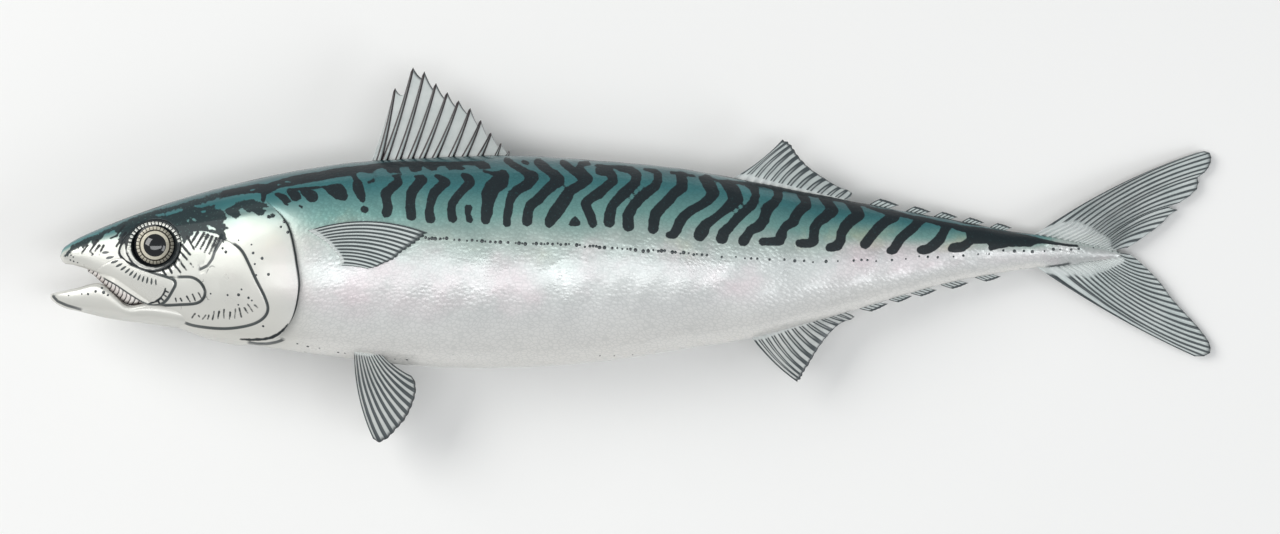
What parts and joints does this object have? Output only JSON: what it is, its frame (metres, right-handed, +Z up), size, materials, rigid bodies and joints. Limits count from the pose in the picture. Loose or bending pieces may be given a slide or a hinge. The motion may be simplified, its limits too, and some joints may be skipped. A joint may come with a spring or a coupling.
{
  "type": "whole raw mackerel",
  "caption": "Whole raw mackerel lying on its right side, jaws a little open, with fins, finlets and forked tail, for food displays and kitchen scenes.",
  "frame": {"origin": "centre of the fish's bounding box in plan, on the surface that it lies on", "axes": "+X from the head to the tail, +Y from the belly to the back, +Z up from the right flank, which lies down, to the left flank, which shows"},
  "size_m": [0.349, 0.1126, 0.0423],
  "materials": {
    "skin": "wet fish skin: dark green-blue back with near-black wavy bars, silver flanks, white belly",
    "eye": "wet clear cornea over a black pupil and a silver-gold iris"
  },
  "bodies": {
    "root": {"fish": "skin", "eye_left": "eye", "eye_right": "eye"}
  },
  "joints": []
}
